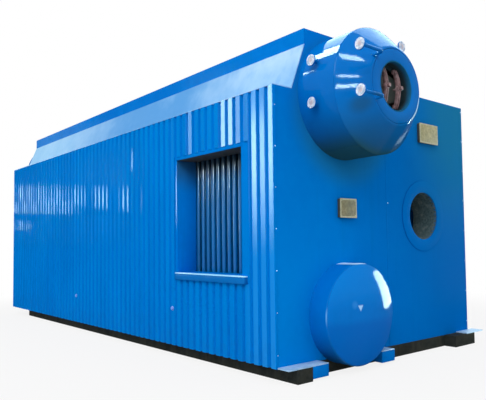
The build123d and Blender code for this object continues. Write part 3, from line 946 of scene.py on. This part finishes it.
def make_window():
    """The flue window's flat frame with its screws, the deep reveal, and the sill with its lip."""
    frame_low, frame_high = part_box("window_frame")
    near, far = window_low.y, window_high.y
    x = window_low.x
    strips = [
        block("window_frame_near", (x, frame_low.y, frame_low.z), (x + 0.068, near, frame_high.z), 0.003),
        block("window_frame_head", (x - 0.004, near - 0.02, window_high.z),
              (x + 0.066, far + 0.02, frame_high.z), 0.003)]
    done(join(strips), blue["wall"], ["window_frame"])
    edge = block("window_frame_far", (x, far, frame_low.z), (x + 0.068, frame_high.y, frame_high.z), 0.006)
    done(edge, blue["frame edge"])
    foot, top = window_low.z, window_high.z

    def lining(name, *corners):
        return block(name, (x + 0.002, *corners[:2]), (window_high.x, *corners[2:]), 0.001)

    reveal = [lining("reveal_near", near - 0.01, foot, near, top), lining("reveal_far", far, foot, far + 0.01, top),
              lining("reveal_floor", near, foot - 0.01, far, foot)]
    done(join(reveal), blue["reveal"])
    # Painted shade: the reveal's head takes the dark steel, for the shade under the frame's head
    done(lining("reveal_head", near, top, far, top + 0.01), dark_steel)
    sill_low, sill_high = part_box("window_sill")
    lip_foot = sill_high.z - 0.012
    sill = block("window_sill_bar", sill_low, (x + 0.03, sill_high.y, lip_foot), 0.004, 3)
    done(sill, blue["sill"], ["window_sill"])
    lip = block("window_sill_lip", (sill_low.x, sill_low.y, lip_foot), (x + 0.03, sill_high.y, sill_high.z), 0.004)
    done(lip, blue["lip"])
    screw = pan_screw("window_screws", screw_radius, "X")
    screw_pitch = 0.235
    places = []
    for i in range(6):
        z = foot + 0.1 + i * screw_pitch
        places += [(x, near - 0.045, z), (x, far + 0.025, z)]
    done(copies(screw, places), blue["trim"])


def bent_tube(name, x, slope):
    """One boiler tube: square out of the lower drum, up behind the window, and into the upper drum."""
    lean = radians(slope)
    out = Vector((-cos(lean), 0, sin(lean)))
    back = Vector((cos(lean), 0, sin(lean)))
    low = lower.z + (lower.x - x) * tan(lean)
    high = upper.z - (upper.x - x) * tan(lean)
    begin = lower + out * 0.45
    end = upper - back * 0.56
    turn = pi / 2 - lean
    reach = tube_bend * tan(turn / 2)
    tube = edge_ring(name, 20, tube_radius, begin, (0, -turn, 0))
    corner = Vector((x, 0, low))
    extrude(out * ((corner - begin).length - reach))
    swing(turn, corner - out * reach + Vector((sin(lean), 0, cos(lean))) * tube_bend, (0, 1, 0), 6)
    extrude((0, 0, high - low - 2 * reach))
    swing(turn, (x + tube_bend, 0, high - reach), (0, 1, 0), 6)
    extrude(back * (end - (Vector((x, 0, high)) + back * reach)).length)
    return close_up(tube)


def make_tubes():
    """The two outer rows of boiler tubes behind the flue window."""
    rows = []
    for row in range(tube_rows):
        tube = bent_tube("boiler_tubes", tube_row + row * tube_pitch, 15 + row * 10)
        rows.append(copies(tube, [(0, first_tube + i * tube_pitch, 0) for i in range(tube_count)]))
    done(join(rows), tube_steel, ["tube_bank"], smooth=60)


def make_roof_trim():
    """The lapped joints of the sloping flashing, and the standing seams of the right roof."""
    slope = Vector((flashing_top.x - ledge_edge, 0, flashing_top.z - ledge_top))
    lap_pitch = 2.0
    seam_pitch = 1.01
    laps = []
    for i in range(3):
        y = front + 2.05 + i * lap_pitch
        lap = block("flashing_lap", (-0.001, y - 0.03, 0.004), (0.002, y + 0.03, slope.length - 0.02), 0.0006)
        move(lap, turn=(0, atan2(slope.x, slope.z), 0), to=(ledge_edge, 0, ledge_top))
        laps.append(lap)
    done(join(laps), blue["flashing"])
    seams = []
    for i in range(7):
        y = front + 1.02 + i * seam_pitch
        seams.append(block("roof_seam", (hood_edge + 0.004, y - 0.008, right_eave - 0.002),
                           (right - 0.01, y + 0.008, right_eave + 0.018), 0.004))
    done(join(seams), blue["roof"])


def make_cladding_screws():
    """Screws in the valleys of the ribbed cladding, in rows along its head, middle and foot."""
    rib_count = int((rear - front) / rib_pitch)
    valley = 0.028
    for name, x, top in (("left_cladding_screws", left + valley, ledge_top),
                         ("right_cladding_screws", right - valley, right_eave)):
        on_left = x < 0
        screw = hex_bolt(name, 0.0055, 0.004, 0.0015, "X")
        if not on_left:
            move(screw, turn=(0, 0, pi))
        places = []
        for row, z in enumerate((base + 0.06, base + 1.4, top - 0.1)):
            for i in range(rib_count):
                y = front + (i + 0.82) * rib_pitch
                hidden = on_left and row == 1 and window_low.y - 0.14 < y < window_high.y + 0.14
                if i % 2 == row % 2 and not hidden and y < rear - 0.02:
                    places.append((x, y, z))
        done(copies(screw, places), blue["ribs"] if on_left else screw_steel)


def make_wall_plugs():
    """Two small round plugs low on the ribbed wall."""
    plug = turned("wall_plugs", Vector(), [
        (0.027, 0.004), (0.027, -0.003), (0.02, -0.005), (0.02, -0.013), (0.014, -0.018), (0, -0.018)], 20)
    move(plug, facing_turn["X"])
    places = [(left, front + 1.893, base + 0.442), (left, front + 4.841, base + 0.418)]
    done(copies(plug, places), plug_finish)


# Base

def make_feet():
    """The two drum feet: blue boxes with a bare top plate."""
    plate = 0.01
    boxes, tops = [], []
    for node in ("drum_foot_left", "drum_foot_right"):
        low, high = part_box(node)
        boxes.append(block(node + "_box", low, (high.x, high.y, high.z - plate), 0.004))
        tops.append(block(node + "_top", (low.x, low.y, high.z - plate), high))
    done(join(boxes), blue["trim"], ["drum_foot_left", "drum_foot_right"])
    # The top plates' pale blue is partly a painted sky reflection
    done(join(tops), plate_steel_and_sheen)


def dress_frame():
    """Give the CAD nodes that show as they are their finishes."""
    finishes = {
        "casing_blue": blue["wall"], "cladding_blue": blue["ribs"], "drum_blue": blue["upper"],
        "flashing_pale_blue": blue["flashing"], "skid_black": black, "bare_plate": plate_steel_and_sheen,
        "rusty_steel": rusty, "dark_steel": dark_steel, "tube_steel": tube_steel, "refractory": refractory,
        "tan_plate": tan_upper,
    }
    for part in frame["record"]["subparts"]:
        cover(cad[part["node"]], finishes[part["material_slot"]])
    for node in ("roof_right", "hood_top", "hood_side_left", "hood_side_right"):
        cover(cad[node], blue["roof"])


# Stage

def blend(tree, share, first, second, output):
    """Show two shaders by share."""
    mix = tree.nodes.new("ShaderNodeMixShader")
    for i, source in enumerate((share, first, second)):
        tree.links.new(source, mix.inputs[i])
    tree.links.new(mix.outputs[0], tree.nodes[output].inputs[0])


def make_stage():
    """A pale floor that keeps the shadow and fades to white away from the boiler."""
    choose()
    bpy.ops.mesh.primitive_plane_add(size=400, location=(0, 0, -0.001))
    floor = bpy.context.object
    floor.name = "studio_floor"
    finish = Finish("studio_floor", Roughness=0.9, Specular_IOR_Level=0.0, Base_Color=(0.5, 0.5, 0.5, 1))
    seen = finish.add("LightPath", output="Is Camera Ray")
    white = finish.add("Emission", {}, {"Strength": 1.0})
    away = (finish.x * finish.x + finish.y * finish.y).worked("SQRT").between(5.0, 9.0)
    share = seen * (away * 0.15 + 0.85)
    blend(finish.tree, share.socket, finish.surface.outputs[0], white.socket, "Material Output")
    floor.data.materials.append(finish.material)


def make_world(level):
    """Plain soft light all round, and white where the camera or a reflection looks past."""
    world = bpy.data.worlds.new("studio")
    bpy.context.scene.world = world
    world.use_nodes = True
    tree = world.node_tree
    soft = tree.nodes["Background"]
    plain = tree.nodes.new("ShaderNodeBackground")
    for sky, strength in ((soft, level), (plain, 1.0)):
        sky.inputs["Color"].default_value = (1, 1, 1, 1)
        sky.inputs["Strength"].default_value = strength
    rays = tree.nodes.new("ShaderNodeLightPath").outputs
    mirrored = rays["Is Camera Ray"]
    for kind in ("Is Glossy Ray", "Is Transmission Ray"):
        larger = tree.nodes.new("ShaderNodeMath")
        larger.operation = "MAXIMUM"
        tree.links.new(mirrored, larger.inputs[0])
        tree.links.new(rays[kind], larger.inputs[1])
        mirrored = larger.outputs[0]
    blend(tree, mirrored, soft.outputs[0], plain.outputs[0], "World Output")


def soft_lamp(name, place, aim, size, brightness, tilt=0.0, gloss_only=True):
    """A soft lamp of a width and height that faces a point; its power grows with its area."""
    data = bpy.data.lights.new(name, "AREA")
    data.shape = "RECTANGLE"
    data.size, data.size_y = size
    data.energy = brightness * pi * size[0] * size[1]
    if gloss_only:
        data.color = (0.64, 0.93, 1.0)
    lamp = bpy.data.objects.new(name, data)
    lamp.visible_diffuse = not gloss_only
    bpy.context.scene.collection.objects.link(lamp)
    lamp.matrix_world = Matrix.Translation(place) @ (
        Vector(aim) - Vector(place)).to_track_quat("-Z", "Y").to_matrix().to_4x4() @ Matrix.Rotation(tilt, 4, "Z")


def make_lamps():
    """A broad soft key from the left, and boxes of light that only the paint's gloss mirrors."""
    soft_lamp("key", (-14, -10, 14), (0, -1, 1.5), (9, 9), 6.5, gloss_only=False)
    before_wall = (1.9, -8.2, 1.4)
    drum = (upper.x, shoulder, upper.z)
    soft_lamp("left_box", (-25.2, 27.6, 7.6), before_wall, (7.2, 15), 14)
    soft_lamp("low_bar", (-20.2, 47.4, 7.7), before_wall, (13, 12), 12)
    soft_lamp("near_box", (-8.8, -15.0, 8.0), drum, (2.4, 1.0), 110)
    soft_lamp("low_box", (-9.4, -15.4, 4.6), drum, (2.6, 1.3), 130)
    soft_lamp("high_box", (-5.1, -12.6, 13.6), drum, (2.6, 1.8), 120)
    soft_lamp("roof_box", (-2.1, 4.9, 13.6), drum, (3.6, 2.2), 100)
    soft_lamp("rear_box", (-7.2, 5.4, 10.9), drum, (1.2, 0.8), 100)
    soft_lamp("far_box", (13.3, 5.2, 25.0), drum, (30, 26), 15)
    soft_lamp("side_box", (5.72, -3.49, 1.56), (upper.x + 0.2, face, upper.z - 0.4), (2.8, 0.35), 5, radians(53))
    soft_lamp("right_box", (5.9, -6.0, 1.32), (lower.x + 0.4, front - 0.25, 0.75), (2.5, 2.5), 80, radians(12))


def make_camera():
    """The camera that the photograph was taken with, as fitted to the casing's corners."""
    data = bpy.data.cameras.new("camera")
    data.lens = 42.0
    data.sensor_fit = "HORIZONTAL"
    data.shift_x = -0.0487
    data.shift_y = 0.031
    data.clip_end = 500
    camera = bpy.data.objects.new("camera", data)
    bpy.context.scene.collection.objects.link(camera)
    eye = (-5.418, -8.197, 1.355)
    yaw, pitch, roll = radians(-40.736), radians(2.887), radians(-0.746)
    camera.matrix_world = (Matrix.Translation(eye) @ Matrix.Rotation(yaw, 4, "Z") @ Matrix.Rotation(
        pi / 2 + pitch, 4, "X") @ Matrix.Rotation(roll, 4, "Z"))
    bpy.context.scene.camera = camera


dress_frame()
make_upper_drum()
make_manhole()
make_lower_drum()
make_rear_ends()
make_nozzles()
make_burner()
make_peep_covers()
make_wall_trim()
make_window()
make_tubes()
make_roof_trim()
make_cladding_screws()
make_wall_plugs()
make_feet()
make_stage()
make_world(1.1)
make_lamps()
make_camera()
bpy.context.scene.view_settings.view_transform = "Standard"
